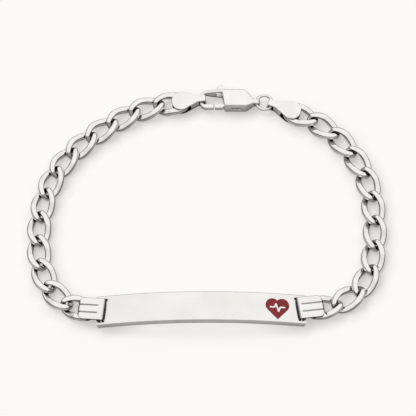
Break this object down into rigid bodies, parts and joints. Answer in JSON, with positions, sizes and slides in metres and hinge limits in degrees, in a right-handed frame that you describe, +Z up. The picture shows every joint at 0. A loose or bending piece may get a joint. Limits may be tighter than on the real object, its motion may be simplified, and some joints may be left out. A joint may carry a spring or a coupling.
{
  "type": "medical alert bracelet",
  "caption": "Curb-chain medical alert bracelet with an arched name plate on folded straps and a trigger clasp with a ring, lying closed and flat.",
  "frame": {"origin": "middle of the closed bracelet's footprint, on the surface that it lies on", "axes": "+X along the name plate towards the emblem, +Y from the plate towards the clasp, +Z up"},
  "size_m": [0.0749, 0.0553, 0.0053],
  "materials": {
    "plate_silver": "polished",
    "clasp_silver": "polished",
    "chain_silver": "polished",
    "enamel": "gloss"
  },
  "bodies": {
    "bracelet": {"id_plate": "plate_silver", "strap_left": "plate_silver", "strap_right": "plate_silver", "emblem": "enamel", "end_cap_left": "clasp_silver", "end_cap_right": "clasp_silver", "clasp_body": "clasp_silver", "jump_ring": "clasp_silver", "link_left_01": "chain_silver", "link_left_02": "chain_silver", "link_left_03": "chain_silver", "link_left_04": "chain_silver", "link_left_05": "chain_silver", "link_left_06": "chain_silver", "link_left_07": "chain_silver", "link_left_08": "chain_silver", "link_left_09": "chain_silver", "link_left_10": "chain_silver", "link_left_11": "chain_silver", "link_left_12": "chain_silver", "link_left_13": "chain_silver", "link_right_01": "chain_silver", "link_right_02": "chain_silver", "link_right_03": "chain_silver", "link_right_04": "chain_silver", "link_right_05": "chain_silver", "link_right_06": "chain_silver", "link_right_07": "chain_silver", "link_right_08": "chain_silver", "link_right_09": "chain_silver", "link_right_10": "chain_silver", "link_right_11": "chain_silver"},
    "lever": {"clasp_lever": "clasp_silver"}
  },
  "joints": [
    {"name": "lever_hinge", "type": "hinge", "parent": "bracelet", "child": "lever", "pos_m": [0.00485, 0.02357, 0.00155], "axis": [0, 0, -1], "range_deg": [0, 25], "stiffness_Nm_per_rad": 0.002, "springref_deg": -17.19}
  ]
}
